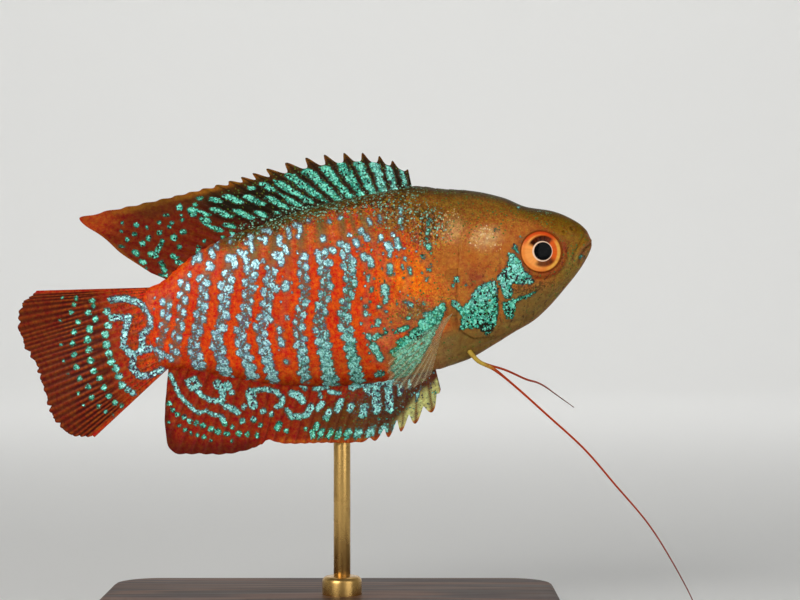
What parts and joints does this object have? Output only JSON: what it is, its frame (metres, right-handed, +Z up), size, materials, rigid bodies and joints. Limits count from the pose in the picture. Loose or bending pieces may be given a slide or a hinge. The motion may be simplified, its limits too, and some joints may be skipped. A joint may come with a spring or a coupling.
{
  "type": "dwarf gourami display model",
  "caption": "Still, life-size male dwarf gourami with raised fins and long pelvic feelers, held nose up on a flat base by a rod.",
  "frame": {"origin": "middle of the stand's underside", "axes": "+X towards the fish's head, +Y to the fish's left, +Z up"},
  "size_m": [0.0886, 0.0435, 0.0627],
  "materials": {
    "skin": "satin, wet-looking painted skin with scales",
    "eye": "clear gloss over an orange-red iris",
    "fin": "thin, slightly see-through, satin",
    "clear_fin": "thin and clear, satin",
    "feeler": "satin",
    "stand_wood": "dark stained, satin varnish",
    "stand_brass": "fine brushed"
  },
  "bodies": {
    "root": {"head": "skin", "lower_jaw": "skin", "gill_cover_left": "skin", "gill_cover_right": "skin", "trunk": "skin", "tail_stalk": "skin", "eye_left": "eye", "eye_right": "eye", "dorsal_fin": "fin", "anal_fin": "fin", "tail_fin": "fin", "pectoral_fin_left": "clear_fin", "pectoral_fin_right": "clear_fin", "pelvic_feeler_left": "feeler", "pelvic_feeler_right": "feeler", "stand_base": "stand_wood", "stand_rod": "stand_brass", "stand_collar": "stand_brass"}
  },
  "joints": []
}
